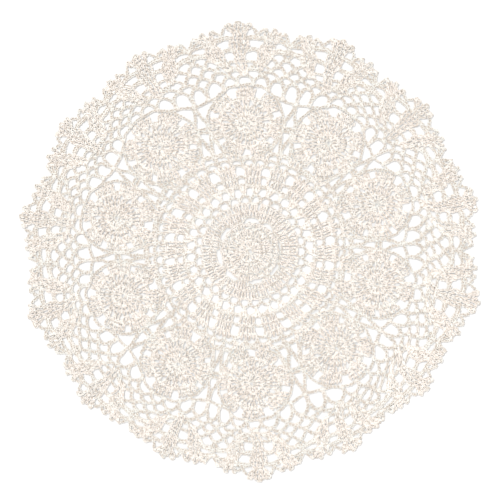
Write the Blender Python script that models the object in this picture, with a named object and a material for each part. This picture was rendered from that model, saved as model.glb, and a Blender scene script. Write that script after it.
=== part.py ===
"""A round crocheted lace doily, 400 mm across, lying flat.

The lace is one sheet of cotton. From the middle outwards it has a medallion of
tall stitches, a ring of loops, twenty blocks, ten joined rosettes, a net of
chain loops and an edging of fourteen groups of three picot fans. Its gaps are
laid out on an even chart, and the whole chart is then pulled a little out of
true, as handwork is.

Lengths in the tables are in millimetres, and bearings in degrees from +X.
"""

import bpy
import bmesh
from math import atan2, cos, degrees, hypot, pi, radians, sin

MM = 0.001

# Driving dimensions, in mm
CHAIN_THICK = 1.5  # the net of chain stitches
DENSE_THICK = 2.1  # the rounds of tall stitches
ROSETTE_REACH = 115.0  # from the middle of the doily to the middle of a rosette

ROSETTES = 10
FAN_GROUPS = 14
NET_LOOPS = 70  # seven over each rosette, and five under each group of fans
NORTH = 90.0  # a rosette and a group of fans both point this way on the even chart

# Where each rosette lies in the finished work, anticlockwise from the top one
ROSETTE_PLACES = (
    # bearing, reach
    (91.5, 111.0),
    (131.0, 119.0),
    (166.0, 119.0),
    (199.5, 116.5),
    (237.5, 116.0),
    (271.0, 114.5),
    (312.0, 113.0),
    (345.5, 113.5),
    (380.5, 116.5),
    (414.0, 115.5),
)

# Each group of fans, anticlockwise from the top one: its highest tip, and the valley after it
FAN_PLACES = (
    # reach of the tip, bearing of the valley
    (200.5, 107.0),
    (198.0, 134.0),
    (199.5, 159.0),
    (202.5, 183.5),
    (200.5, 209.5),
    (197.0, 234.5),
    (195.0, 259.5),
    (200.5, 285.0),
    (195.0, 310.0),
    (196.5, 334.5),
    (204.5, 360.0),
    (202.0, 386.0),
    (200.0, 413.0),
    (201.0, 439.0),
)

# The drift of each place out of true: wavelength, heading of the wave, phase, size
WANDER = (
    (37.0, 25.0, 0.4, 0.22),
    (23.0, 110.0, 2.1, 0.20),
    (15.0, 65.0, 4.0, 0.18),
    (9.0, 150.0, 1.2, 0.14),
)
CROSS_PITCH = 1.07  # the waves of the drift in y are this much closer than those in x
CROSS_PHASE = 0.6  # and start this far on, in radians

# Between which reaches each of these pulls sets in, or fades
ROSETTE_PULL = (50.0, 95.0)
FAN_PULL = (151.0, 168.0)
ROSETTE_RISE = (60.0, 105.0)
ROSETTE_FALL = (125.0, 176.0)
TIP_RISE = (170.0, 196.0)
WANDER_RISE = (0.0, 60.0)

# Gaps that repeat evenly round the whole doily
RING_GAPS = (
    # count, first bearing past north, reach, tall, wide, widening outwards, corners
    (30, 0.4, 52.0, 9.6, 7.8, 0.16, 8),
    (20, 6.5, 70.0, 7.2, 7.2, 0.12, 7),
)

# Gaps between two rosettes. Those with a side distance come as a mirrored pair
BETWEEN_GAPS = (
    # to the side, reach, tall, wide, lean outwards, widening outwards, corners
    (6.9, 95.6, 10.6, 5.4, 22.0, 0.10, 6),
    (0.0, 102.6, 13.2, 5.0, 0.0, 0.35, 6),
    (0.0, 119.4, 13.6, 6.2, 0.0, -0.55, 6),
    (7.0, 128.8, 14.4, 7.4, -18.0, 0.05, 7),
)

# Gaps between the petals of a rosette
ROSETTE_GAPS = (
    # bearing from the rosette's own outward line, reach from its middle, tall, wide, corners
    (26.0, 28.7, 7.4, 7.4, 7),
    (-26.0, 28.7, 7.4, 7.4, 7),
    (180.0, 29.2, 5.4, 6.2, 6),
)

# Gaps of each group of fans, all as mirrored pairs about the group's middle line
FAN_GAPS = (
    # bearing from the middle line, reach, tall, wide, corners
    (3.2, 179.6, 7.4, 5.4, 6),
    (10.15, 179.4, 4.4, 9.0, 6),
    (10.5, 161.0, 6.2, 9.4, 6),
)

# The first round of net loops rises over each rosette and dips between them
FIRST_LOOP_REACH = 146.4
FIRST_LOOP_RISE = 4.6
FIRST_LOOP_TALL = (8.4, 2.9)  # mean, and how much taller between the rosettes
FIRST_LOOP_WIDE = (8.9, 0.8)  # mean, and how much narrower there
FIRST_LOOP_CORNERS = 7

# The picots of one group of fans. A picot is a knob on the edge
PICOTS = (
    # bearing from the middle line, reach of the tip
    (-10.9, 190.6),
    (-8.6, 193.8),
    (-6.3, 193.6),
    (-2.35, 197.8),
    (0.0, 200.0),
    (2.35, 197.8),
    (6.3, 193.6),
    (8.6, 193.8),
    (10.9, 190.6),
)
PICOT_TALL = 2.6
PICOT_WIDE = 1.35  # degrees
NOTCHES = ((-4.3, 189.4), (4.3, 189.4))  # between fans: bearing, reach
TIP_REACH = 200.0
VALLEY_REACH = 180.8

# Reaches over which the lace thins to chain stitches, and thickens again
THIN_ROUNDS = (
    (72.0, 80.0, 88.0, 96.0),
    (136.0, 150.0, 172.0, 184.0),
)
WELD = 0.00002  # metres
FLAT_ENOUGH = 0.5  # a face belongs to the top or the underside if its normal's z is past this
COTTON = (0.86, 0.82, 0.76, 1.0)
COTTON_ROUGHNESS = 0.9


def clear_scene():
    """Removes whatever the file holds, so that the model starts from nothing."""
    for found in list(bpy.data.objects):
        bpy.data.objects.remove(found, do_unlink=True)


def eased(share):
    """0 to 1, with no slope at either end."""
    share = min(max(share, 0.0), 1.0)
    return share * share * (3.0 - 2.0 * share)


def between(start, end, value):
    """How far a value has come from start to end, eased."""
    return eased((value - start) / (end - start))


def round_table(values, bearing, first):
    """Reads a table of values spaced evenly round the doily, blending neighbours."""
    place = (bearing - first) / 360.0 * len(values)
    step = int(place // 1)
    share = eased(place - step)
    low = values[step % len(values)]
    high = values[(step + 1) % len(values)]
    return low + (high - low) * share


ROSETTE_TURN = [
    place[0] - NORTH - 360.0 * k / ROSETTES for k, place in enumerate(ROSETTE_PLACES)
]
ROSETTE_SHIFT = [place[1] - ROSETTE_REACH for place in ROSETTE_PLACES]
TIP_SHIFT = [place[0] - TIP_REACH for place in FAN_PLACES]
FIRST_VALLEY = NORTH + 180.0 / FAN_GROUPS
VALLEY_TURN = [
    place[1] - FIRST_VALLEY - 360.0 * k / FAN_GROUPS for k, place in enumerate(FAN_PLACES)
]


def drift(x, y):
    """A small, slow wander of the work in x and y, in mm."""
    move_x = 0.0
    move_y = 0.0
    for length, heading, phase, size in WANDER:
        along = x * cos(radians(heading)) + y * sin(radians(heading))
        wave = 2.0 * pi * along / length + phase
        move_x += size * sin(wave)
        move_y += size * cos(wave * CROSS_PITCH + CROSS_PHASE)
    return move_x, move_y


def lay(reach, bearing):
    """Where a place on the even chart lies in the finished work, as x and y in mm."""
    ring = between(*ROSETTE_PULL, reach)
    edge = between(*FAN_PULL, reach)
    turn = round_table(ROSETTE_TURN, bearing, NORTH) * ring
    turn += (round_table(VALLEY_TURN, bearing, FIRST_VALLEY) - turn) * edge
    shift = round_table(ROSETTE_SHIFT, bearing, NORTH)
    shift *= between(*ROSETTE_RISE, reach) * (1.0 - between(*ROSETTE_FALL, reach))
    shift += round_table(TIP_SHIFT, bearing, NORTH) * between(*TIP_RISE, reach)
    along = radians(bearing + turn)
    x = (reach + shift) * cos(along)
    y = (reach + shift) * sin(along)
    move_x, move_y = drift(x, y)
    steady = between(*WANDER_RISE, reach)
    return x + move_x * steady, y + move_y * steady


def gap(reach, bearing, tall, wide, corners, lean=0.0, widening=0.0):
    """The corners of one gap, laid in the finished work. Lean turns its top clockwise."""
    points = []
    for k in range(corners):
        angle = 2.0 * pi * (k + 0.5) / corners - pi / 2.0
        up = tall / 2.0 * sin(angle)
        side = wide / 2.0 * cos(angle) * (1.0 + widening * 2.0 * up / tall)
        turned_side = side * cos(radians(lean)) + up * sin(radians(lean))
        turned_up = up * cos(radians(lean)) - side * sin(radians(lean))
        far = hypot(reach + turned_up, turned_side)
        points.append(lay(far, bearing - degrees(atan2(turned_side, reach + turned_up))))
    return points


def ring_gaps():
    gaps = []
    for count, first, reach, tall, wide, widening, corners in RING_GAPS:
        for k in range(count):
            bearing = NORTH + first + 360.0 * k / count
            gaps.append(gap(reach, bearing, tall, wide, corners, widening=widening))
    return gaps


def first_loop_gaps():
    """The largest round of the net, whose loops rise over the rosettes."""
    gaps = []
    for k in range(NET_LOOPS):
        bearing = NORTH + 360.0 * k / NET_LOOPS
        over = cos(radians((bearing - NORTH) * ROSETTES))
        gaps.append(
            gap(
                FIRST_LOOP_REACH + FIRST_LOOP_RISE * over,
                bearing,
                FIRST_LOOP_TALL[0] - FIRST_LOOP_TALL[1] * over,
                FIRST_LOOP_WIDE[0] + FIRST_LOOP_WIDE[1] * over,
                FIRST_LOOP_CORNERS,
            )
        )
    return gaps


def between_gaps():
    gaps = []
    for k in range(ROSETTES):
        middle = NORTH + 360.0 * (k + 0.5) / ROSETTES
        for side, reach, tall, wide, lean, widening, corners in BETWEEN_GAPS:
            aside = degrees(side / reach)
            for hand in (-1, 1) if side else (1,):
                gaps.append(
                    gap(reach, middle - hand * aside, tall, wide, corners, hand * lean, widening)
                )
    return gaps


def rosette_gaps():
    gaps = []
    for k in range(ROSETTES):
        middle = NORTH + 360.0 * k / ROSETTES
        for turn, out, tall, wide, corners in ROSETTE_GAPS:
            up = ROSETTE_REACH + out * cos(radians(turn))
            side = out * sin(radians(turn))
            bearing = middle - degrees(atan2(side, up))
            gaps.append(gap(hypot(up, side), bearing, tall, wide, corners))
    return gaps


def fan_gaps():
    gaps = []
    for k in range(FAN_GROUPS):
        middle = NORTH + 360.0 * k / FAN_GROUPS
        for aside, reach, tall, wide, corners in FAN_GAPS:
            for hand in (-1, 1):
                gaps.append(gap(reach, middle + hand * aside, tall, wide, corners))
    return gaps


def edge_points():
    """The outer edge, anticlockwise: valleys, picots and the notches between fans."""
    points = []
    for k in range(FAN_GROUPS):
        middle = NORTH + 360.0 * k / FAN_GROUPS
        marks = [(-180.0 / FAN_GROUPS, VALLEY_REACH)]
        for aside, tip in PICOTS:
            foot = tip - PICOT_TALL
            marks.append((aside - PICOT_WIDE / 2.0, foot))
            marks.append((aside, tip))
            marks.append((aside + PICOT_WIDE / 2.0, foot))
        marks.extend(NOTCHES)
        points += [lay(reach, middle + aside) for aside, reach in sorted(marks)]
    return points


def thick_at(x, y):
    """The height of the lace, less in the two rounds of net than where tall stitches are dense."""
    reach = hypot(x, y)
    thin = max(between(a, b, reach) * (1.0 - between(c, d, reach)) for a, b, c, d in THIN_ROUNDS)
    return DENSE_THICK + (CHAIN_THICK - DENSE_THICK) * thin


def cotton_material():
    material = bpy.data.materials.new("cotton_thread")
    material.use_nodes = True
    shader = material.node_tree.nodes["Principled BSDF"]
    shader.inputs["Base Color"].default_value = COTTON
    shader.inputs["Roughness"].default_value = COTTON_ROUGHNESS
    shader.inputs["Metallic"].default_value = 0.0
    return material


def add_loop(curve, points, centre):
    """Adds one closed line of straight runs to a curve."""
    line = curve.splines.new("POLY")
    line.points.add(len(points) - 1)
    for point, (x, y) in zip(line.points, points):
        point.co = ((x - centre[0]) * MM, (y - centre[1]) * MM, 0.0, 1.0)
    line.use_cyclic_u = True


def make_doily(collection):
    """The lace sheet: its edge and gaps as a filled flat outline, made a mesh of uneven height."""
    edge = edge_points()
    xs = [x for x, _ in edge]
    ys = [y for _, y in edge]
    centre = ((min(xs) + max(xs)) / 2.0, (min(ys) + max(ys)) / 2.0)
    outline = bpy.data.curves.new("doily_outline", "CURVE")
    outline.dimensions = "2D"
    outline.fill_mode = "BOTH"
    outline.extrude = DENSE_THICK / 2.0 * MM
    add_loop(outline, edge, centre)
    for points in ring_gaps() + first_loop_gaps() + between_gaps() + rosette_gaps() + fan_gaps():
        add_loop(outline, points, centre)
    flat = bpy.data.objects.new("doily_flat", outline)
    collection.objects.link(flat)
    evaluated = flat.evaluated_get(bpy.context.evaluated_depsgraph_get())
    mesh = bpy.data.meshes.new_from_object(evaluated)
    bpy.data.objects.remove(flat, do_unlink=True)

    sheet = bmesh.new()
    sheet.from_mesh(mesh)
    bmesh.ops.remove_doubles(sheet, verts=sheet.verts, dist=WELD)
    bmesh.ops.triangulate(sheet, faces=sheet.faces)
    for up in (1.0, -1.0):
        side = [face for face in sheet.faces if face.normal.z * up > FLAT_ENOUGH]
        within = set(side)
        inner = [line for line in sheet.edges if within.issuperset(line.link_faces)]
        bmesh.ops.beautify_fill(sheet, faces=side, edges=inner)
    for vertex in sheet.verts:
        x, y = vertex.co.x / MM + centre[0], vertex.co.y / MM + centre[1]
        vertex.co.z = thick_at(x, y) * MM if vertex.co.z > 0.0 else 0.0
    sheet.to_mesh(mesh)
    sheet.free()

    mesh.name = "doily"
    mesh.materials.clear()
    mesh.materials.append(cotton_material())
    doily = bpy.data.objects.new("doily", mesh)
    collection.objects.link(doily)
    return doily


def main():
    clear_scene()
    collection = bpy.data.collections.new("lace_doily")
    bpy.context.scene.collection.children.link(collection)
    make_doily(collection)


main()
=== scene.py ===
"""A round crocheted lace doily, laid flat and seen from straight above.

Every stitch is there. A chain stitch and a short stitch are a loop of thread, a tall
stitch is two legs twisted together under a top loop, and all of them lie on the strands
of the back. The thread of stitches that lie close is a little fuller than that of loose
chains, and it is painted lighter and warmer as lit thread, while loose chains are
painted darker and greyer as shaded thread. The rounds are worked on an even chart,
which is then pulled a little out of true, as handwork is.

Lengths are in millimetres until a mesh is made, and bearings in degrees from +X.
"""

import bpy
import numpy as np
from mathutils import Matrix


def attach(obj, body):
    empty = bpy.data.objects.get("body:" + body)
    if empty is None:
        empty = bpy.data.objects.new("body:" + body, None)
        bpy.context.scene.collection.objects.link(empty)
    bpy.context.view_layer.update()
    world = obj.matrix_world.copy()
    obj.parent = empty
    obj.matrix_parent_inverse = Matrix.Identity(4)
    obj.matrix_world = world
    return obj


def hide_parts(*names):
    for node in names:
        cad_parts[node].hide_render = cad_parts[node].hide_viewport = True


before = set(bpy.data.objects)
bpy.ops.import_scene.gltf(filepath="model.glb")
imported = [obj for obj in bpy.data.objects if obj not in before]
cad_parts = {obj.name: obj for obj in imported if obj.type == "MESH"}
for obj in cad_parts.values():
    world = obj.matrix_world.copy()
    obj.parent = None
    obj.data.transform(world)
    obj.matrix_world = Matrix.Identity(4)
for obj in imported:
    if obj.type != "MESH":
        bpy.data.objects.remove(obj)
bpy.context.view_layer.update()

MM = 0.001
NORTH = 90.0
ROSETTES = 10
ROSETTE_STEP = 360.0 / ROSETTES  # degrees from one to the next
FAN_GROUPS = 14
NET_LOOPS = 70

# ---------------------------------------------------------------- the pull out of true

ROSETTE_REACH = 115.0

# Where each rosette lies in the finished work, anticlockwise from the top one
ROSETTE_PLACES = (
    # bearing, reach
    (91.5, 111.0),
    (131.0, 119.0),
    (166.0, 119.0),
    (199.5, 116.5),
    (237.5, 116.0),
    (271.0, 114.5),
    (312.0, 113.0),
    (345.5, 113.5),
    (380.5, 116.5),
    (414.0, 115.5),
)

# Each group of fans, anticlockwise from the top one: its highest tip, and the valley after it
FAN_PLACES = (
    # reach of the tip, bearing of the valley
    (200.5, 107.0),
    (198.0, 134.0),
    (199.5, 159.0),
    (202.5, 183.5),
    (200.5, 209.5),
    (197.0, 234.5),
    (195.0, 259.5),
    (200.5, 285.0),
    (195.0, 310.0),
    (196.5, 334.5),
    (204.5, 360.0),
    (202.0, 386.0),
    (200.0, 413.0),
    (201.0, 439.0),
)

# The drift of each place out of true: wavelength, heading of the wave, phase, size
WANDER = (
    (37.0, 25.0, 0.4, 0.22),
    (23.0, 110.0, 2.1, 0.20),
    (15.0, 65.0, 4.0, 0.18),
    (9.0, 150.0, 1.2, 0.14),
)
CROSS_PITCH = 1.07  # the waves of the drift in y are this much closer than those in x
CROSS_PHASE = 0.6  # and start this far on, in radians

# Between which reaches each of these pulls sets in, or fades
ROSETTE_PULL = (50.0, 95.0)
FAN_PULL = (151.0, 168.0)
ROSETTE_RISE = (60.0, 105.0)
ROSETTE_FALL = (125.0, 176.0)
TIP_RISE = (170.0, 196.0)
WANDER_RISE = (0.0, 60.0)
TIP_REACH = 200.0

# The picots of one group of fans. A picot is a knob on the edge
PICOTS = (
    # bearing from the middle line, reach of the tip
    (-10.9, 190.6),
    (-8.6, 193.8),
    (-6.3, 193.6),
    (-2.35, 197.8),
    (0.0, 200.0),
    (2.35, 197.8),
    (6.3, 193.6),
    (8.6, 193.8),
    (10.9, 190.6),
)

ROSETTE_TURN = [
    place[0] - NORTH - 360.0 * k / ROSETTES for k, place in enumerate(ROSETTE_PLACES)
]
ROSETTE_SHIFT = [place[1] - ROSETTE_REACH for place in ROSETTE_PLACES]
TIP_SHIFT = [place[0] - TIP_REACH for place in FAN_PLACES]
FIRST_VALLEY = NORTH + 180.0 / FAN_GROUPS
VALLEY_TURN = [
    place[1] - FIRST_VALLEY - 360.0 * k / FAN_GROUPS for k, place in enumerate(FAN_PLACES)
]


def eased(share):
    share = np.clip(share, 0.0, 1.0)
    return share * share * (3.0 - 2.0 * share)


def between(start, end, value):
    """How far a value has come from start to end, eased."""
    return eased((value - start) / (end - start))


def round_table(values, bearing, first):
    """Reads a table of values spaced evenly round the doily, blending neighbours."""
    values = np.array(values)
    place = (bearing - first) / 360.0 * len(values)
    step = np.floor(place).astype(int)
    share = eased(place - step)
    low = values[step % len(values)]
    high = values[(step + 1) % len(values)]
    return low + (high - low) * share


def rounded(values, half):
    """Each value blended with half this many neighbours on each side. The ends stay."""
    before = 2.0 * values[0] - values[half:0:-1]
    after = 2.0 * values[-1] - values[-2 : -half - 2 : -1]
    wide = 2 * half + 1
    return np.convolve(np.concatenate([before, values, after]), np.full(wide, 1.0 / wide), "valid")


def polar(reach, bearing):
    """x and y of a place, in the last axis."""
    along = np.radians(bearing)
    return np.stack(np.broadcast_arrays(reach * np.cos(along), reach * np.sin(along)), axis=-1)


def drift(places, waves=WANDER):
    """A small, slow wander of the work in x and y."""
    moved = np.zeros_like(places)
    for length, heading, phase, size in waves:
        wave = 2.0 * np.pi * (places @ polar(1.0, heading)) / length + phase
        moved[..., 0] += size * np.sin(wave)
        moved[..., 1] += size * np.cos(wave * CROSS_PITCH + CROSS_PHASE)
    return moved


def pulled(places):
    """Where places on the even chart lie in the finished work."""
    reach = np.hypot(places[..., 0], places[..., 1])
    bearing = np.degrees(np.arctan2(places[..., 1], places[..., 0]))
    ring = between(*ROSETTE_PULL, reach)
    edge = between(*FAN_PULL, reach)
    turn = round_table(ROSETTE_TURN, bearing, NORTH) * ring
    turn += (round_table(VALLEY_TURN, bearing, FIRST_VALLEY) - turn) * edge
    shift = round_table(ROSETTE_SHIFT, bearing, NORTH)
    shift *= between(*ROSETTE_RISE, reach) * (1.0 - between(*ROSETTE_FALL, reach))
    shift += round_table(TIP_SHIFT, bearing, NORTH) * between(*TIP_RISE, reach)
    places = polar(reach + shift, bearing + turn)
    return places + drift(places) * between(*WANDER_RISE, reach)[..., None]


def lace_centre():
    """The middle of the finished work's box, from the tips of its picots."""
    groups = NORTH + 360.0 * np.arange(FAN_GROUPS) / FAN_GROUPS
    asides, tips = np.array(PICOTS).T
    places = pulled(polar(tips[None, :], groups[:, None] + asides[None, :])).reshape(-1, 2)
    return (places.min(axis=0) + places.max(axis=0)) / 2.0


CENTRE = lace_centre()

# The small unevenness of each stitch's place, finer than the drift: the same kind of rows
HAND = (
    (11.0, 15.0, 0.9, 0.20),
    (8.0, 80.0, 3.1, 0.17),
    (6.5, 140.0, 5.2, 0.16),
    (5.2, 50.0, 1.7, 0.13),
    (4.1, 115.0, 2.6, 0.10),
)


def laid(places):
    """Where places on the even chart lie in the finished work, about its own middle."""
    places = pulled(places)
    return places + drift(places, HAND) - CENTRE


# ---------------------------------------------------------------- stitches

THREAD = 0.49  # half the thickness of the thread
FULLER = 0.08  # how much thicker it lies where stitches are close
CHAIN_LONG = 2.5
CHAIN_WIDE = 3.3
NET_WIDE = 3.8  # the chains of the net lie loose and wide
SWAY = 0.22  # how far a chain stitch stands aside of its line
TOP_WIDE = 2.6  # the loop along the top of a tall stitch
TOP_LIFT = 0.38
THINNEST = 0.9  # the least width that tall stitches are squeezed to
SHORT_LONG = 2.9
SHORT_WIDE = (1.9, 3.1)  # the least and most that short stitches are squeezed or spread to
SHORT_LIFT = 0.40  # how much higher one short stitch may lie than the next
BACK_THICK = 0.36  # half the thickness of a strand of the back
BACK_HEIGHT = 0.46
BACK_HALF = 0.41  # half the width of such a strand, in widths of its stitch
SIDES = 4  # of a strand
UNEVEN = 0.10  # how much one stitch's width differs from the next
RISE = 0.05  # and its height
STIR = 0.45  # how far a stitch's foot or head strays, each way
ROUND_STIR = 0.22  # the same in the middle of a motif, where the rounds show as rings
DICE = np.random.default_rng(11)

# The columns of a row that holds a stitch
AT_FOOT = slice(0, 2)
AT_HEAD = slice(2, 4)
WIDTHS = slice(4, 6)
LIFT = slice(6, 7)
NEARNESS = 7
LOOSE, CLOSE = 0.0, 1.0  # a chain has light all round it, and other stitches lie side by side

# The loop of one chain stitch: along it from 0 to 1, to its side in widths, and its height
CHAIN_LOOP = (
    (-0.20, 0.12, 0.92),
    (0.40, 0.36, 1.13),
    (1.03, 0.00, 0.90),
    (0.40, -0.36, 1.13),
    (-0.20, -0.12, 0.92),
)

# The two legs of a tall stitch cross twice: up it from 0 to 1, to its side, and its height
OVER_LEG = (
    (0.00, 0.14, 0.80),
    (0.18, 0.31, 1.15),
    (0.43, -0.26, 1.32),
    (0.60, -0.26, 1.05),
    (0.83, 0.30, 1.10),
    (1.02, 0.12, 0.95),
)
UNDER_LEG = (
    (0.00, -0.14, 0.80),
    (0.18, -0.31, 1.05),
    (0.40, 0.26, 1.05),
    (0.57, 0.26, 1.32),
    (0.83, -0.30, 1.15),
    (1.02, -0.12, 0.95),
)
BACK_STRAND = (
    (-0.05, 0.00, BACK_HEIGHT),
    (1.05, 0.00, BACK_HEIGHT),
)


class Lace:
    """
    The stitches of one piece of the work, on the even chart. Each is a row: the places of its
    foot and its head, its width at both, how far it is lifted, and whether it lies close.
    """

    def __init__(self, name):
        self.name = name
        self.loops = []
        self.legs = []
        self.backs = []

    def chain(self, line, wide=CHAIN_WIDE, lift=0.0, long=CHAIN_LONG):
        """Chain stitches along a line of places, as many as its length takes."""
        far = np.concatenate([[0.0], np.cumsum(np.hypot(*np.diff(line, axis=0).T))])
        count = max(1, round(far[-1] / long))
        marks = np.linspace(0.0, far[-1], count + 1)
        spots = np.column_stack([np.interp(marks, far, line[:, k]) for k in (0, 1)])
        across = np.gradient(spots, axis=0)[:, ::-1] * (-1.0, 1.0)
        across /= np.hypot(across[:, 0], across[:, 1])[:, None]
        spots[1:-1] += across[1:-1] * SWAY * DICE.uniform(-1.0, 1.0, (count - 1, 1))
        sizes = np.tile((wide, wide, lift, LOOSE), (count, 1))
        rows = np.hstack([spots[:-1], spots[1:], sizes])
        self.loops.append(rows)
        self.backs.append(rows)

    def short(self, feet, heads, stir=STIR):
        """Short stitches side by side, each one loop from its foot to its head."""
        count = len(feet)
        spans = [np.hypot(*np.diff(line, axis=0).T).mean() for line in (feet, heads)]
        wides = np.broadcast_to(np.clip(spans, *SHORT_WIDE), (count, 2))
        feet = feet + DICE.uniform(-stir, stir, (count, 2))
        heads = heads + DICE.uniform(-stir, stir, (count, 2))
        lifts = DICE.uniform(0.0, SHORT_LIFT, (count, 1))
        rows = np.hstack([feet, heads, wides, lifts, np.full((count, 1), CLOSE)])
        self.loops.append(rows)
        self.backs.append(rows)

    def tall(self, feet, heads, foot_wide=None, head_wide=None):
        """Tall stitches side by side, from their feet to their heads, with a loop along the top."""
        if foot_wide is None:
            foot_wide = max(THINNEST, np.hypot(*(feet[-1] - feet[0])) / max(1, len(feet) - 1))
            head_wide = max(THINNEST, np.hypot(*(heads[-1] - heads[0])) / max(1, len(heads) - 1))
        count = len(feet)
        feet = feet + DICE.uniform(-STIR, STIR, (count, 2))
        heads = heads + DICE.uniform(-STIR, STIR, (count, 2))
        up = heads - feet
        up /= np.hypot(up[:, 0], up[:, 1])[:, None]
        side = np.column_stack([-up[:, 1], up[:, 0]])
        sizes = np.tile((foot_wide, head_wide, 0.0, CLOSE), (count, 1))
        rows = np.hstack([feet, heads, sizes])
        self.legs.append(rows)
        self.backs.append(rows)
        side = side * head_wide / 2.0
        sizes = np.tile((TOP_WIDE, TOP_WIDE, TOP_LIFT, CLOSE), (count, 1))
        self.loops.append(np.hstack([heads - side, heads + side, sizes]))


class Spread:
    """A point that rounds are worked about. Its own bearing of 90 points away from the middle."""

    def __init__(self, reach=0.0, bearing=NORTH):
        self.middle = polar(reach, bearing)
        self.turn = bearing - NORTH

    def at(self, reach, bearing):
        return self.middle + polar(reach, np.asarray(bearing) + self.turn)

    def line(self, *stops, steps=24):
        """A line past stops of reach and bearing, with its corners rounded off."""
        stops = np.array(stops, dtype=float)
        marks = np.arange(len(stops))
        fine = np.linspace(0, len(stops) - 1, steps * (len(stops) - 1) + 1)
        return self.at(*(rounded(np.interp(fine, marks, row), steps // 2) for row in stops.T))

    def ring(self, reach, steps):
        return self.line((reach, 0.0), (reach, 360.0), steps=steps)

    def arch(self, start, end, peak, square=0.7, upright=1.0, steps=32):
        """
        A loop from start to end, each a reach and a bearing, with its top at the reach peak.
        An upright one leaves its feet at a right angle, the others slant.
        """
        share = np.linspace(0.0, 1.0, steps)
        across = share + ((1.0 - np.cos(np.pi * share)) / 2.0 - share) * upright
        bearing = start[1] + (end[1] - start[1]) * across
        foot = start[0] + (end[0] - start[0]) * across
        return self.at(foot + (peak - foot) * np.sin(np.pi * share) ** square, bearing)

    def even_arch(self, middle, half, foot, peak):
        """An arch about a middle bearing, with both feet at one reach and half away from it."""
        return self.arch((foot, middle - half), (foot, middle + half), peak)


def round_of_tall(lace, spread, count, low, high):
    bearing = 360.0 * np.arange(count) / count
    around = 2.0 * np.pi / count
    wides = np.maximum(THINNEST, np.array([low, high]) * around)
    lace.tall(spread.at(low, bearing), spread.at(high, bearing), *wides)


def rounds_of_short(lace, spread, table):
    """Rounds of short stitches: how many, and the reach of their feet and of their heads."""
    for turn, (count, low, high) in enumerate(table):
        bearing = 360.0 * (np.arange(count) + 0.5 * (turn % 2)) / count
        lace.short(spread.at(low, bearing), spread.at(high, bearing), ROUND_STIR)


def about(middle, count, low, foot_half, high, head_half):
    """A group about a middle bearing: how many, and its feet and heads as a group takes them."""
    feet = (low, middle - foot_half, middle + foot_half)
    heads = (high, middle - head_half, middle + head_half)
    return count, feet, heads


def short_group(lace, spread, count, feet, heads, crown=0.0):
    """
    Rows of short stitches that fill the shape from feet to heads, each given as a reach and
    the bearings of both ends. A crown lifts the middle of their tops.
    """
    share = np.linspace(0.0, 1.0, count)
    dome = crown * (1.0 - (2.0 * share - 1.0) ** 2)
    marks = np.linspace(0.0, 1.0, 1 + max(1, round((heads[0] - feet[0]) / SHORT_LONG)))
    lines = []
    for mark in marks:
        reach, start, end = np.array(feet) + (np.array(heads) - np.array(feet)) * mark
        lines.append(spread.at(reach + dome * mark, start + (end - start) * share))
    for low, high in zip(lines[:-1], lines[1:]):
        lace.short(low, high)


def tall_group(lace, spread, count, feet, heads, crown=0.0):
    """Tall stitches side by side, with feet, heads and crown given as for short ones."""
    share = np.linspace(0.0, 1.0, count)
    foot = feet[1] + (feet[2] - feet[1]) * share
    head = heads[1] + (heads[2] - heads[1]) * share
    high = heads[0] + crown * (1.0 - (2.0 * share - 1.0) ** 2)
    lace.tall(spread.at(feet[0], foot), spread.at(high, head))


# ---------------------------------------------------------------- the chart

# From here on, a table whose name ends in GROUP gives stitches about a bearing: how many, the
# reach of their feet and how many degrees these spread to each side, then the same for their
# heads. One whose name ends in LOOP gives a chain about a bearing: how many degrees its feet
# stand to each side, and the reach of its feet and of its top.

# The rounds in the middle of a motif: how many stitches, and the reach of their feet and of
# their heads. The first round is of tall stitches, and the others are of short ones
MEDALLION_HEART = (
    (16, 3.0, 8.0),
    (26, 8.4, 11.1),
    (34, 11.3, 14.0),
)
ROSETTE_HEART = (
    (15, 3.0, 7.6),
    (23, 8.0, 11.7),
    (32, 12.0, 15.9),
)
START_REACH = 2.3  # of the small ring of chain that a motif starts with
START_STEPS = 24
START_WIDE = 1.5
START_LONG = 1.6


def work_heart(lace, spread, rounds):
    lace.chain(spread.ring(START_REACH, START_STEPS), wide=START_WIDE, long=START_LONG)
    round_of_tall(lace, spread, *rounds[0])
    rounds_of_short(lace, spread, rounds[1:])


# The long slits round the medallion: bearing of the middle, half its length, its width
SLITS = (
    (87.0, 15.0, 3.7),
    (53.0, 10.0, 3.0),
    (12.0, 12.0, 1.4),
    (-37.0, 14.0, 3.1),
    (-80.0, 15.0, 3.5),
    (-127.0, 15.0, 3.5),
    (-170.0, 16.0, 3.7),
    (145.0, 15.0, 3.6),
)
SLIT_INSIDE = 25.3
SLIT_END = 5.0  # degrees over which a slit closes
SLIT_STEPS = 240
SLIT_CHAIN_OUT = 0.7  # how far outside the slits their chain lies
SLIT_CHAIN_WIDE = 1.8


def slit_line(bearing):
    """The reach of the outer edge of the slits, and of the medallion's edge between them."""
    reach = np.full(np.shape(bearing), SLIT_INSIDE)
    for middle, half, wide in SLITS:
        off = np.abs((np.asarray(bearing) - middle + 180.0) % 360.0 - 180.0)
        reach = reach + wide * (1.0 - between(half - SLIT_END, half + SLIT_END / 2.0, off))
    return reach


MEDALLION_REPEATS = 16
MEDALLION_INNER_GROUP = (3, 14.0, 7.2, 18.3, 6.6)
MEDALLION_LOOP = (11.25, 17.6, 21.0)
MEDALLION_LOOP_WIDE = 1.7
MEDALLION_OUTER_GROUP = (4, 21.3, 8.2, 23.9, 8.6)
MEDALLION_CROWN = 0.5


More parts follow.
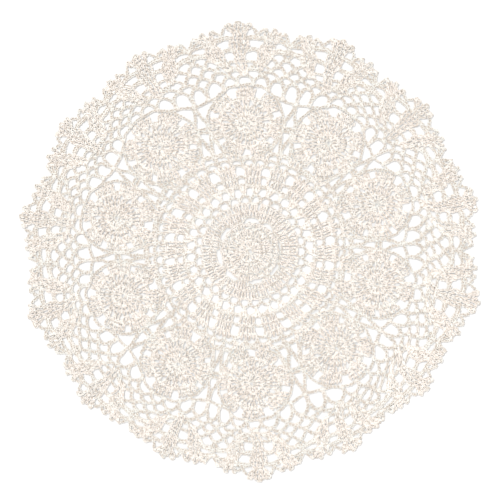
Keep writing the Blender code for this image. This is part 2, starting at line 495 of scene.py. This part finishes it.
def work_medallion(middle):
    lace = Lace("medallion")
    work_heart(lace, middle, MEDALLION_HEART)
    step = 360.0 / MEDALLION_REPEATS
    for k in range(MEDALLION_REPEATS):
        centre = NORTH + step * k
        tall_group(lace, middle, *about(centre, *MEDALLION_INNER_GROUP))
        lace.chain(middle.even_arch(centre + step, *MEDALLION_LOOP), wide=MEDALLION_LOOP_WIDE)
        outer = about(centre + step, *MEDALLION_OUTER_GROUP)
        tall_group(lace, middle, *outer, crown=MEDALLION_CROWN)
    bearing = np.linspace(0.0, 360.0, SLIT_STEPS + 1)
    lace.chain(middle.at(slit_line(bearing) + SLIT_CHAIN_OUT, bearing), wide=SLIT_CHAIN_WIDE)
    return lace


# The first dense ring stands on the chain outside the slits
FIRST_RING_COUNT = 80
FIRST_RING_FEET_OUT = 1.4  # how far outside the slits
FIRST_RING_HEADS = 34.4
FIRST_RING_WIDES = (2.2, 2.6)  # of a stitch at its foot and at its head

# The rings of groups and loops round it
RING_REPEATS = 30
RING_INNER_GROUP = (3, 34.8, 3.7, 41.3, 3.5)
RING_INNER_LOOP = (6.0, 42.0, 48.4)
RING_OUTER_LOOP = (6.0, 48.4, 56.2)
RING_OUTER_GROUP = (3, 50.4, 1.4, 56.2, 2.6)


def work_rings(middle):
    lace = Lace("dense_rings")
    bearing = 360.0 / FIRST_RING_COUNT * np.arange(FIRST_RING_COUNT)
    feet = middle.at(slit_line(bearing) + FIRST_RING_FEET_OUT, bearing)
    lace.tall(feet, middle.at(FIRST_RING_HEADS, bearing), *FIRST_RING_WIDES)
    step = 360.0 / RING_REPEATS
    for k in range(RING_REPEATS):
        centre = NORTH + step * (k + 0.5)
        tall_group(lace, middle, *about(centre, *RING_INNER_GROUP))
        lace.chain(middle.even_arch(centre, *RING_INNER_LOOP))
    for k in range(RING_REPEATS):
        centre = NORTH + step * k
        lace.chain(middle.even_arch(centre, *RING_OUTER_LOOP))
        tall_group(lace, middle, *about(centre + step / 2.0, *RING_OUTER_GROUP))
    return lace


# The blocks stand on a ring of chain, and loops bridge the gaps between them
BLOCKS = 20
FIRST_BLOCK = NORTH - 2.5
BLOCK_RING = 57.0  # reach of that ring
BLOCK_RING_STEPS = 240
BLOCK_INNER_GROUP = (5, 57.6, 5.6, 64.2, 5.4)
BLOCK_INNER_LOOP = (3.2, 63.6, 65.0)
BLOCK_OUTER_GROUP = (6, 64.8, 5.2, 72.0, 5.1)
BLOCK_OUTER_LOOP = (3.6, 72.0, 75.4)
BLOCK_TOP_GROUP = (6, 72.7, 5.4, 76.4, 6.0)
BLOCK_CROWN = 0.9

# The round of small loops over the blocks
SMALL_LOOPS = 50
SMALL_LOOP = (3.6, 76.4, 81.4)

# What joins a rosette to them: a loop on its line, and a group and a wide loop on both sides
JOIN_LOOP = (3.6, 81.2, 84.2)
JOIN_GROUP = (4, 80.8, 2.8, 87.4, 3.6)
JOIN_GROUP_ASIDE = 8.0  # degrees from the rosette's line
WIDE_LOOP_ASIDE = (10.8, 18.0)  # the same, to both feet of the loop
WIDE_LOOP_FOOT = 81.2
WIDE_LOOP_TOP = 88.4


def work_blocks(middle):
    lace = Lace("blocks")
    lace.chain(middle.ring(BLOCK_RING, BLOCK_RING_STEPS))
    step = 360.0 / BLOCKS
    for k in range(BLOCKS):
        centre = FIRST_BLOCK + step * k
        gap = centre + step / 2.0
        tall_group(lace, middle, *about(centre, *BLOCK_INNER_GROUP))
        lace.chain(middle.even_arch(gap, *BLOCK_INNER_LOOP))
        tall_group(lace, middle, *about(centre, *BLOCK_OUTER_GROUP))
        lace.chain(middle.even_arch(gap, *BLOCK_OUTER_LOOP))
        short_group(lace, middle, *about(centre, *BLOCK_TOP_GROUP), crown=BLOCK_CROWN)
    for k in range(SMALL_LOOPS):
        lace.chain(middle.even_arch(NORTH + 360.0 / SMALL_LOOPS * k, *SMALL_LOOP))
    for k in range(ROSETTES):
        centre = NORTH + ROSETTE_STEP * k
        lace.chain(middle.even_arch(centre, *JOIN_LOOP))
        for hand in (-1, 1):
            short_group(lace, middle, *about(centre + hand * JOIN_GROUP_ASIDE, *JOIN_GROUP))
            ends = [(WIDE_LOOP_FOOT, centre + hand * aside) for aside in WIDE_LOOP_ASIDE]
            lace.chain(middle.arch(*ends, WIDE_LOOP_TOP), wide=NET_WIDE)
    return lace


ROSETTE_GROUPS = 14
ROSETTE_GROUP = (3, 16.2, 5.6, 20.4, 7.8)

# The petals of a rosette: the bearing of the middle from the outward line, and how far the head
# spreads clockwise and anticlockwise of it
PETALS = (
    (0.0, 17.5, 17.5),
    (51.4, 15.5, 19.0),
    (102.9, 19.0, 19.0),
    (154.3, 19.0, 17.0),
    (205.7, 17.0, 19.0),
    (257.1, 19.0, 19.0),
    (308.6, 19.0, 15.5),
)
PETAL_STEP = 51.4  # degrees from one petal to the next
PETAL_FEET = 20.9
PETAL_HEADS = 29.2
PETAL_FOOT = 17.5  # degrees that the foot of a petal spreads to each side
PETAL_STITCH = 4.4  # degrees that a stitch takes of its head
PETAL_CROWN = 1.0
NOTCH_CHAIN = (21.8, 23.0, 21.8)  # reach of the chain between the feet of two petals
NOTCH_WIDE = 2.4

# The chain over the petals, from the second petal round to the last
EDGE_CHAIN = 31.3
EDGE_FLAT = 12.0  # degrees from the middle of a petal that it keeps its reach
EDGE_GAPS = (31.4, 31.4, 33.0, 31.4, 31.4)  # its reach over each gap


def work_rosette(k):
    spread = Spread(ROSETTE_REACH, NORTH + ROSETTE_STEP * k)
    lace = Lace(f"rosette_{k + 1:02d}")
    work_heart(lace, spread, ROSETTE_HEART)
    for j in range(ROSETTE_GROUPS):
        tall_group(lace, spread, *about(NORTH + 360.0 * j / ROSETTE_GROUPS, *ROSETTE_GROUP))
    for turn, clockwise, anticlockwise in PETALS:
        centre = NORTH + turn
        count = round((clockwise + anticlockwise) / PETAL_STITCH)
        feet = (PETAL_FEET, centre - PETAL_FOOT, centre + PETAL_FOOT)
        heads = (PETAL_HEADS, centre - clockwise, centre + anticlockwise)
        short_group(lace, spread, count, feet, heads, crown=PETAL_CROWN)
        start, end = centre + PETAL_FOOT, centre + PETAL_STEP - PETAL_FOOT
        notch = spread.line(*zip(NOTCH_CHAIN, (start, (start + end) / 2.0, end)))
        lace.chain(notch, wide=NOTCH_WIDE)
    for (turn, *_), (after, *_), over in zip(PETALS[1:], PETALS[2:], EDGE_GAPS):
        stops = (
            (EDGE_CHAIN, turn),
            (EDGE_CHAIN, turn + EDGE_FLAT),
            (over, (turn + after) / 2.0),
            (EDGE_CHAIN, after - EDGE_FLAT),
            (EDGE_CHAIN, after),
        )
        lace.chain(spread.line(*[(reach, NORTH + bearing) for reach, bearing in stops]))
    return lace


# The chains between two rosettes, on one side of the line between them
BETWEEN_CHAINS = (
    # stops: how far aside of the line in millimetres, and reach
    ((0.7, 89.0), (0.9, 95.0), (3.0, 103.0), (4.6, 108.0), (4.8, 111.0)),
    ((0.0, 88.8), (6.5, 86.0)),
    ((0.0, 110.2), (5.6, 110.0)),
    ((0.0, 113.2), (5.6, 113.6)),
    ((4.8, 112.8), (4.3, 118.0), (1.8, 125.0), (0.8, 129.0), (0.7, 133.4)),
    ((8.6, 86.0), (7.9, 91.0), (7.6, 97.0), (6.4, 103.0), (6.6, 109.0)),
)


def work_between(lace, middle, k):
    """The chains that join two rosettes, about the line between them."""
    bearing = NORTH + ROSETTE_STEP * (k + 0.5)
    for hand in (-1, 1):
        for stops in BETWEEN_CHAINS:
            places = [(reach, bearing + hand * np.degrees(aside / reach)) for aside, reach in stops]
            lace.chain(middle.line(*places), wide=NET_WIDE)


# The chain that the net hangs on, from the line through a rosette to the line between two
RING_LINE = (
    # degrees, reach
    (0.0, 146.6),
    (5.8, 145.7),
    (10.4, 137.4),
    (18.0, 133.4),
)
RING_LINE_STEPS = 1440

# The rounds of the net: reach of the tops of the loops, how much they rise over a rosette, and
# how square and how upright the loops stand
NET_ROUNDS = (
    (152.0, 2.6, 0.60, 0.8),
    (156.8, 2.8, 0.75, 0.3),
    (162.6, 2.2, 0.80, 0.1),
    (168.6, 1.4, 0.80, 0.1),
    (174.6, 0.6, 0.80, 0.1),
)
INNER_ROUNDS = 2
NET_UNEVEN = 0.55  # how far the top of a loop lies in or out of its round
NET_SLIP = 0.45  # degrees by which the feet of the first loops slip along the ring
TRUNK_HALF = (0.0, 0.0, 1.0, 3.0, 6.0)  # degrees each side of a trunk that has no loops, by round
KNOT = (-0.8, 2.0)  # the knot at the foot of a loop, from below it to above it
KNOT_WIDE = 2.9
KNOT_LIFT = 0.25


def over_rosette(bearing):
    """1 on the line through a rosette, and -1 between two."""
    return np.cos(np.radians((bearing - NORTH) * ROSETTES))


def ring_reach(bearing):
    half = 180.0 / ROSETTES
    off = np.abs((np.asarray(bearing) - NORTH + half) % (2.0 * half) - half)
    return np.interp(off, *np.array(RING_LINE).T)


def work_net(middle):
    inner, outer = Lace("net_inner"), Lace("net_outer")
    bearing = np.linspace(0.0, 360.0, RING_LINE_STEPS + 1)
    inner.chain(middle.at(ring_reach(bearing), bearing))
    pitch = 360.0 / NET_LOOPS
    group = 360.0 / FAN_GROUPS
    feet = NORTH + pitch * (np.arange(NET_LOOPS) - 0.5)
    feet = feet + NET_SLIP * DICE.uniform(-1.0, 1.0, NET_LOOPS)
    below = [(float(ring_reach(foot)), foot) for foot in feet]
    for number, (top, rise, square, upright) in enumerate(NET_ROUNDS):
        lace = inner if number < INNER_ROUNDS else outer
        tops = []
        for k, start in enumerate(below):
            turned = 360.0 if k + 1 == NET_LOOPS else 0.0
            reach, end = below[(k + 1) % NET_LOOPS]
            end += turned
            centre = (start[1] + end) / 2.0
            peak = top + rise * over_rosette(centre) + NET_UNEVEN * DICE.uniform(-1.0, 1.0)
            tops.append((peak, centre))
            aside = abs((centre - NORTH + group / 2.0) % group - group / 2.0)
            if aside < TRUNK_HALF[number]:
                continue
            loop = middle.arch(start, (reach, end), peak, square, upright)
            lace.chain(loop, wide=NET_WIDE)
            knot = middle.line(*[(start[0] + out, start[1]) for out in KNOT])
            lace.chain(knot, wide=KNOT_WIDE, lift=KNOT_LIFT)
        below = tops
    return inner, outer


# The middle trunk of a group of fans, up to its head, as groups about its middle line
MIDDLE_TRUNK = (
    (3, 153.6, 0.90, 163.4, 1.20),
    (4, 163.6, 1.20, 169.2, 1.20),
    (4, 169.4, 1.20, 174.6, 1.70),
    (5, 174.8, 1.70, 180.0, 2.20),
    (6, 180.2, 2.20, 183.4, 2.00),
    (4, 183.6, 1.40, 188.8, 1.20),
    (5, 189.0, 1.40, 191.8, 2.10),
    (7, 192.0, 2.30, 196.4, 2.90),
)

# The trunk on one side
SIDE_TRUNK = (
    # stitches, then reach, near and far bearing of the feet, and of the heads
    (3, 158.6, 3.9, 5.2, 164.2, 4.3, 6.4),
    (4, 164.4, 4.4, 6.9, 169.6, 4.6, 8.0),
    (6, 169.8, 4.6, 8.2, 174.8, 4.3, 8.6),
    (6, 175.0, 4.6, 8.5, 180.0, 5.6, 8.6),
    (5, 180.2, 6.0, 8.8, 184.8, 6.2, 9.7),
    (7, 185.0, 6.3, 9.9, 189.8, 6.3, 10.9),
)
HEAD_COUNT = 7  # a row of this many stitches is the head of its trunk
MIDDLE_CROWN = 1.2  # a head stands on a curve
SIDE_CROWN = 1.0
GROUP_SLIP = 0.45  # degrees and millimetres by which the places of one group differ

# Chains that link the trunks of a group, on one side: stops of reach and bearing
SIDE_CHAINS = (
    ((158.0, 1.0), (158.8, 2.2), (157.8, 3.9)),
    ((164.2, 1.2), (165.4, 2.6), (164.4, 4.2)),
    ((173.4, 1.5), (174.6, 2.9), (173.6, 4.6)),
    ((174.8, 1.8), (176.0, 2.9), (175.0, 4.5)),
    ((183.6, 1.9), (184.6, 3.2), (182.4, 6.6)),
    ((184.8, 1.8), (186.2, 3.2), (184.6, 6.7)),
    ((184.6, 4.6), (188.2, 4.2), (191.2, 3.6), (193.6, 3.2)),
    ((187.6, 4.4), (190.4, 5.2), (191.4, 6.3)),
    ((190.4, 11.0), (186.6, 11.7), (183.0, 12.2), (180.8, 12.86)),
    ((186.4, 9.8), (184.6, 10.8), (182.0, 11.8), (180.0, 12.86)),
    ((180.8, 8.8), (182.2, 10.2), (180.6, 11.6), (179.2, 12.86)),
    ((174.6, 8.6), (174.8, 10.2), (175.2, 11.6), (176.6, 12.86)),
    ((171.8, 8.2), (172.8, 9.6), (173.4, 11.2), (174.2, 12.86)),
)
VALLEY_CHAIN = (172.6, 180.4)  # reach of both ends of the chain between two groups

# The chains of a picot: width, lift, then both ends as reach from its tip and degrees aside
PICOT_CHAINS = (
    (1.9, 0.0, (-3.6, -0.40), (-0.9, -0.35)),
    (1.9, 0.0, (-0.9, 0.35), (-3.6, 0.40)),
    (2.2, 0.2, (-1.2, -0.40), (-1.2, 0.40)),
)


def work_fans(middle, k):
    lace = Lace(f"fans_{k + 1:02d}")
    centre = NORTH + 360.0 * k / FAN_GROUPS
    for row in MIDDLE_TRUNK:
        crown = MIDDLE_CROWN if row[0] == HEAD_COUNT else 0.0
        short_group(lace, middle, *about(centre, *row), crown=crown)
    for hand in (-1, 1):
        slip = GROUP_SLIP * DICE.uniform(-1.0, 1.0, 2)
        for count, low, near, far, high, head_near, head_far in SIDE_TRUNK:
            turn = centre + hand * slip[1] * (count != HEAD_COUNT)
            feet = (low + slip[0], turn + hand * near, turn + hand * far)
            heads = (high + slip[0], turn + hand * head_near, turn + hand * head_far)
            crown = SIDE_CROWN if count == HEAD_COUNT else 0.0
            short_group(lace, middle, count, feet, heads, crown=crown)
        for stops in SIDE_CHAINS:
            places = [(reach, centre + hand * bearing) for reach, bearing in stops]
            lace.chain(middle.line(*places))
    valley = centre + 180.0 / FAN_GROUPS
    lace.chain(middle.line(*[(reach, valley) for reach in VALLEY_CHAIN]), wide=NET_WIDE)
    for aside, tip in PICOTS:
        for wide, lift, *ends in PICOT_CHAINS:
            places = [(tip + out, centre + aside + off) for out, off in ends]
            lace.chain(middle.line(*places), wide, lift)
    return lace


# ---------------------------------------------------------------- meshes

CELL_LONG = 2.0  # how much longer than wide the cell of an unrolled strand is
CELL_EDGE = (0.12, 0.07)  # shares of a cell left clear before the strand
CELL_FILL = (0.76, 0.86)  # and filled by it, which leaves room for its two ends
CELL_END = 0.04  # the width of an end there
END_WIDE = 0.1  # and on the map of the twist, in millimetres
END_CORNERS = ((0.0, 0.3), (1.0, 0.3), (1.0, 0.7), (0.0, 0.7))  # of an end on both maps


def strand_lines(rows, shape):
    """The middle lines of one strand of many stitches, as stitches x points x xyz."""
    shape = np.array(shape)
    start = rows[:, AT_FOOT]
    along = rows[:, AT_HEAD] - start
    side = np.column_stack([-along[:, 1], along[:, 0]])
    side /= np.hypot(side[:, 0], side[:, 1])[:, None]
    share = shape[:, 0]
    foot_wide, head_wide = np.split(rows[:, WIDTHS], 2, axis=1)
    wide = foot_wide + (head_wide - foot_wide) * np.clip(share, 0.0, 1.0)
    wide = wide * (1.0 + UNEVEN * DICE.uniform(-1.0, 1.0, (len(rows), 1)))
    places = start[:, None, :] + along[:, None, :] * share[None, :, None]
    places = places + side[:, None, :] * (wide * shape[:, 1])[:, :, None]
    height = shape[:, 2] + rows[:, LIFT] + RISE * DICE.uniform(-1.0, 1.0, (len(rows), 1))
    return np.concatenate([laid(places), height[:, :, None]], axis=2)


class Strands:
    """Many strands with the same number of points, as tubes."""

    def __init__(self, lines, half_wide, half_thick, close):
        steps = np.gradient(lines, axis=1)
        steps /= np.linalg.norm(steps, axis=2, keepdims=True)
        side = np.cross((0.0, 0.0, 1.0), steps)
        side /= np.linalg.norm(side, axis=2, keepdims=True)
        up = np.cross(steps, side)
        angle = 2.0 * np.pi * (np.arange(SIDES) + 0.5) / SIDES
        half_wide = np.broadcast_to(half_wide, lines.shape[:2])[:, :, None, None]
        around = side[:, :, None, :] * np.cos(angle)[None, None, :, None] * half_wide
        around = around + up[:, :, None, :] * np.sin(angle)[None, None, :, None] * half_thick
        self.count, self.points = lines.shape[:2]
        self.corners = (lines[:, :, None, :] + around).reshape(-1, 3)
        self.close = np.repeat(close, self.points * SIDES)
        long = np.linalg.norm(np.diff(lines, axis=1), axis=2)
        self.along = np.hstack([np.zeros((self.count, 1)), np.cumsum(long, axis=1)])

    def faces(self, first):
        """The corners of each face: the walls of a strand, then its two ends."""
        ring = np.arange(SIDES)
        low = np.arange(self.points - 1)[:, None] * SIDES + ring
        low_next = np.arange(self.points - 1)[:, None] * SIDES + (ring + 1) % SIDES
        walls = np.stack([low, low_next, low_next + SIDES, low + SIDES], axis=2).reshape(-1, 4)
        ends = np.array([ring[::-1], (self.points - 1) * SIDES + ring])
        one = np.vstack([walls, ends])
        strand = np.arange(self.count)[:, None, None] * self.points * SIDES
        return (one[None, :, :] + strand + first).reshape(-1, 4)

    def unrolled(self, along, end_wide):
        """Places on a map of each face's corners: length along, and the share of a turn."""
        turn = np.arange(SIDES) / SIDES
        walls = np.zeros((self.count, self.points - 1, SIDES, 4, 2))
        walls[..., 0:2, 0] = along[:, :-1, None, None]
        walls[..., 2:4, 0] = along[:, 1:, None, None]
        walls[..., (0, 3), 1] = turn[None, None, :, None]
        walls[..., (1, 2), 1] = turn[None, None, :, None] + 1.0 / SIDES
        corners = np.array(END_CORNERS) * (end_wide, 1.0)
        ends = np.zeros((self.count, 2, 4, 2))
        ends[:, 0] = corners + (-2.0 * end_wide, 0.0)
        ends[:, 1] = corners + (end_wide, 0.0)
        ends[:, 1, :, 0] += along[:, -1:]
        return np.concatenate([walls.reshape(self.count, -1, 4, 2), ends], axis=1)

    def bake_map(self, first, columns, rows):
        """Each strand unrolled in its own cell of a grid."""
        share = self.along / self.along[:, -1:]
        places = self.unrolled(share, CELL_END) * CELL_FILL + CELL_EDGE
        cell = np.arange(first, first + self.count)
        places[..., 0] = (places[..., 0] + (cell % columns)[:, None, None]) / columns
        places[..., 1] = (places[..., 1] + (cell // columns)[:, None, None]) / rows
        return places


def mesh_piece(name, batches, material):
    """One mesh from batches of strands, with a map for the twist and one for the colours."""
    corners = np.vstack([batch.corners for batch in batches]) * MM
    count = sum(batch.count for batch in batches)
    columns = int(np.ceil(np.sqrt(count / CELL_LONG)))
    rows = int(np.ceil(count / columns))
    faces, twist, bake = [], [], []
    corner = strand = 0
    for batch in batches:
        faces.append(batch.faces(corner))
        twist.append(batch.unrolled(batch.along, END_WIDE).reshape(-1, 2))
        bake.append(batch.bake_map(strand, columns, rows).reshape(-1, 2))
        corner += len(batch.corners)
        strand += batch.count
    faces = np.vstack(faces)
    mesh = bpy.data.meshes.new(name)
    mesh.vertices.add(len(corners))
    mesh.vertices.foreach_set("co", corners.ravel())
    mesh.loops.add(faces.size)
    mesh.loops.foreach_set("vertex_index", faces.ravel())
    mesh.polygons.add(len(faces))
    mesh.polygons.foreach_set("loop_start", np.arange(len(faces)) * 4)
    mesh.update(calc_edges=True)
    for map_name, places in (("OFBake", bake), ("thread", twist)):
        layer = mesh.uv_layers.new(name=map_name)
        layer.uv.foreach_set("vector", np.vstack(places).ravel())
    # Which stitches lie close: their thread is fuller, and the cotton paints it in its lit colour
    # and loose chains in its shaded one
    close = mesh.attributes.new("close", "FLOAT", "POINT")
    close.data.foreach_set("value", np.concatenate([batch.close for batch in batches]))
    mesh.shade_smooth()
    mesh.materials.append(material)
    piece = bpy.data.objects.new(name, mesh)
    bpy.context.scene.collection.objects.link(piece)
    return piece


def make_front(lace, material):
    """The loops and legs of one piece of the work."""
    rows = np.vstack(lace.loops)
    close = rows[:, NEARNESS]
    half = THREAD + FULLER * close[:, None]
    batches = [Strands(strand_lines(rows, CHAIN_LOOP), half, THREAD, close)]
    if lace.legs:
        rows = np.vstack(lace.legs)
        for leg in (OVER_LEG, UNDER_LEG):
            batches.append(Strands(strand_lines(rows, leg), THREAD, THREAD, rows[:, NEARNESS]))
    return mesh_piece(lace.name, batches, material)


def make_back(laces, material):
    """The strands of the back of the whole work, which the other pieces lie on."""
    rows = np.vstack([row for lace in laces for row in lace.backs])
    lines = strand_lines(rows, BACK_STRAND)
    half = rows[:, WIDTHS] * BACK_HALF
    strands = Strands(lines, half, BACK_THICK, rows[:, NEARNESS])
    return mesh_piece("back_strands", [strands], material)


# ---------------------------------------------------------------- finish


class Value:
    """A socket of a node. Sums on it add the nodes that work them out."""

    def __init__(self, finish, socket):
        self.finish = finish
        self.socket = socket

    def maths(self, operation, *others):
        return self.finish.node("ShaderNodeMath", {"operation": operation}, dict(enumerate(others)))

    def __add__(self, other):
        return self.maths("ADD", self, other)

    def __sub__(self, other):
        return self.maths("SUBTRACT", self, other)

    def __mul__(self, other):
        return self.maths("MULTIPLY", self, other)

    def __rsub__(self, other):
        return self.maths("SUBTRACT", other, self)

    __radd__ = __add__
    __rmul__ = __mul__

    def sine(self):
        return self.maths("SINE", self)

    def larger(self, other):
        return self.maths("MAXIMUM", self, other)

    def ramped(self, low, high):
        """0 where this is at low and 1 at high, eased between."""
        settings = {"interpolation_type": "SMOOTHSTEP"}
        ends = {"Value": self, "From Min": low, "From Max": high}
        return self.finish.node("ShaderNodeMapRange", settings, ends)


# Which inputs of a Mix node take its two colours, and which output gives the mix
MIX_ONE, MIX_OTHER = 6, 7
MIXED = 2


class Finish:
    """A material while it is made."""

    def __init__(self, name):
        self.material = bpy.data.materials.new(name)
        self.material.use_nodes = True
        self.tree = self.material.node_tree
        self.shader = self.tree.nodes["Principled BSDF"]

    def put(self, node, key, value):
        """Sets a socket of a node to a number or a colour, or links a value to it."""
        socket = node.inputs[key]
        if isinstance(value, Value):
            self.tree.links.new(value.socket, socket)
        else:
            socket.default_value = value

    def node(self, kind, settings=None, sockets=None, out=0):
        """Adds a node with its settings and sockets, and gives one of its outputs."""
        node = self.tree.nodes.new(kind)
        for key, value in (settings or {}).items():
            setattr(node, key, value)
        for key, value in (sockets or {}).items():
            self.put(node, key, value)
        return Value(self, node.outputs[out])

    def part(self, vector, axis):
        """The X, Y or Z of a vector."""
        return self.node("ShaderNodeSeparateXYZ", {}, {"Vector": vector}, axis)

    def mixed(self, share, one, other):
        """A colour that goes from one to the other as the share rises."""
        sockets = {"Factor": share, MIX_ONE: one, MIX_OTHER: other}
        return self.node("ShaderNodeMix", {"data_type": "RGBA"}, sockets, MIXED)

    def mottled(self, places, size, detail=2.0):
        """Soft patches of about this size in millimetres."""
        sockets = {"Vector": places, "Scale": 1.0 / (size * MM), "Detail": detail}
        return self.node("ShaderNodeTexNoise", {}, sockets)


# The thread in two tints, painted as a lit copy, lighter and warmer, for close stitches, and as a
# shaded copy, darker and greyer, for loose chains
CLOSE_LIT_WARM = (0.976, 0.909, 0.848, 1.0)
CLOSE_LIT_COOL = (0.960, 0.919, 0.864, 1.0)
LOOSE_SHADED_WARM = (0.902, 0.864, 0.806, 1.0)
LOOSE_SHADED_COOL = (0.886, 0.870, 0.820, 1.0)
TINT_SIZE = 16.0
TINT_EDGE = (0.40, 0.60)  # values of the patches between which one tint gives way to the other

PAINTED_DEEP_SHADE = (0.710, 0.635, 0.560, 1.0)  # painted shade: the colour of the thread where it lies low between the stitches and on its flanks
TOP_SIDE = (0.60, 1.35)  # heights over which the painted shade gives way on the top
UNDERSIDE = (0.40, 0.12)  # and underneath
MOTTLE = 0.80  # how far the random mottle takes the open side towards the painted shade
MOTTLE_SIZE = 2.0
MOTTLE_DETAIL = 1.0
MOTTLE_EDGE = (0.36, 0.56)

COTTON = {
    "Roughness": 0.92,
    "Sheen Weight": 0.15,
    "Sheen Roughness": 0.5,
    "Specular IOR Level": 0.25,
}
PLIES = 3
PLY_LONG = 2.1  # one turn of the ply along the thread
PLY_RELIEF = 0.5  # of the plies, to 1 of the fuzz
FUZZ_SIZE = 0.16
RELIEF_STRENGTH = 0.6
RELIEF_DEEP = 0.09


def cotton_material():
    """Undyed crochet cotton: three plies, a soft fuzz, painted shade between stitches, and painted
    light and shade on close stitches and loose chains.
    """
    finish = Finish("cotton")
    places = finish.node("ShaderNodeTexCoord", out="Object")
    height = finish.part(places, "Z") * (1.0 / MM)
    open_side = height.ramped(*TOP_SIDE).larger(height.ramped(*UNDERSIDE))

    tint = finish.mottled(places, TINT_SIZE).ramped(*TINT_EDGE)
    mottle = finish.mottled(places, MOTTLE_SIZE, MOTTLE_DETAIL).ramped(*MOTTLE_EDGE)
    # Painted light and shade by closeness: close stitches take the lit colour, and loose chains
    # take the darker, greyer shaded one
    close = finish.node("ShaderNodeAttribute", {"attribute_name": "close"}, out="Fac")
    loose_shaded_colour = finish.mixed(tint, LOOSE_SHADED_WARM, LOOSE_SHADED_COOL)
    colour = finish.mixed(close, loose_shaded_colour, finish.mixed(tint, CLOSE_LIT_WARM, CLOSE_LIT_COOL))
    # Painted shade: the colour darkens on the flanks of the threads and on the low strands between
    # the stitches, and by the random mottle in patches on the tops
    shade = 1.0 - open_side * (1.0 - MOTTLE + MOTTLE * mottle)
    finish.put(finish.shader, "Base Color", finish.mixed(shade, colour, PAINTED_DEEP_SHADE))
    for key, value in COTTON.items():
        finish.put(finish.shader, key, value)

    thread = finish.node("ShaderNodeUVMap", {"uv_map": "thread"})
    along, turn = finish.part(thread, "X"), finish.part(thread, "Y")
    twist = ((along * (1.0 / PLY_LONG) + turn) * (2.0 * np.pi * PLIES)).sine()
    relief = {
        "Height": twist * PLY_RELIEF + finish.mottled(places, FUZZ_SIZE),
        "Strength": RELIEF_STRENGTH,
        "Distance": RELIEF_DEEP * MM,
    }
    finish.put(finish.shader, "Normal", finish.node("ShaderNodeBump", {}, relief))
    return finish.material


# ---------------------------------------------------------------- the studio

FLOOR_HALF = 5.0  # metres
FLOOR_COLOUR = (0.80, 0.80, 0.80, 1.0)


def make_floor():
    mesh = bpy.data.meshes.new("floor")
    corners = [
        (-FLOOR_HALF, -FLOOR_HALF, 0.0),
        (FLOOR_HALF, -FLOOR_HALF, 0.0),
        (FLOOR_HALF, FLOOR_HALF, 0.0),
        (-FLOOR_HALF, FLOOR_HALF, 0.0),
    ]
    mesh.from_pydata(corners, [], [(0, 1, 2, 3)])
    finish = Finish("pale_floor")
    finish.put(finish.shader, "Base Color", FLOOR_COLOUR)
    finish.put(finish.shader, "Roughness", 1.0)
    mesh.materials.append(finish.material)
    floor = bpy.data.objects.new("floor", mesh)
    bpy.context.scene.collection.objects.link(floor)


# The lights: strength, width in degrees, and how far each leans from overhead in x and in y
LIGHTS = (
    ("overhead", 0.62, 70.0, 0.0, 0.0),
    ("window", 1.57, 16.0, -26.0, -26.0),
)
ROOM_LIGHT = 0.81
ROOM_COLOUR = (1.0, 1.0, 1.0, 1.0)


def light_scene():
    world = bpy.data.worlds.new("studio")
    world.use_nodes = True
    background = world.node_tree.nodes["Background"]
    background.inputs["Color"].default_value = ROOM_COLOUR
    background.inputs["Strength"].default_value = ROOM_LIGHT
    bpy.context.scene.world = world
    for name, strength, wide, lean_x, lean_y in LIGHTS:
        lamp = bpy.data.lights.new(name, "SUN")
        lamp.energy = strength
        lamp.angle = np.radians(wide)
        sun = bpy.data.objects.new(name, lamp)
        sun.rotation_euler = (np.radians(lean_x), np.radians(lean_y), 0.0)
        bpy.context.scene.collection.objects.link(sun)


FRAME_WIDE = 0.433  # metres across the picture
FILM_WIDE = 36.0  # millimetres
CAMERA_HEIGHT = 1.4
CAMERA_PLACE = (0.0004, 0.0013)


def make_camera():
    """A camera that looks straight down."""
    data = bpy.data.cameras.new("camera")
    data.sensor_width = FILM_WIDE
    data.lens = FILM_WIDE * CAMERA_HEIGHT / FRAME_WIDE
    camera = bpy.data.objects.new("camera", data)
    camera.location = (*CAMERA_PLACE, CAMERA_HEIGHT)
    bpy.context.scene.collection.objects.link(camera)
    bpy.context.scene.camera = camera


def work_doily():
    """Every piece of the work, in the order in which it is worked."""
    middle = Spread()
    laces = [work_medallion(middle), work_rings(middle), work_blocks(middle)]
    laces += [work_rosette(k) for k in range(ROSETTES)]
    inner, outer = work_net(middle)
    for k in range(ROSETTES):
        work_between(inner, middle, k)
    return [*laces, inner, outer, *(work_fans(middle, k) for k in range(FAN_GROUPS))]


def main():
    make_camera()
    light_scene()
    make_floor()
    bpy.context.scene.view_settings.view_transform = "Standard"

    laces = work_doily()
    cotton = cotton_material()
    pieces = [make_front(lace, cotton) for lace in laces]
    back = make_back(laces, cotton)
    for piece in [back, *pieces]:
        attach(piece, "root")
    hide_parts("doily")


main()
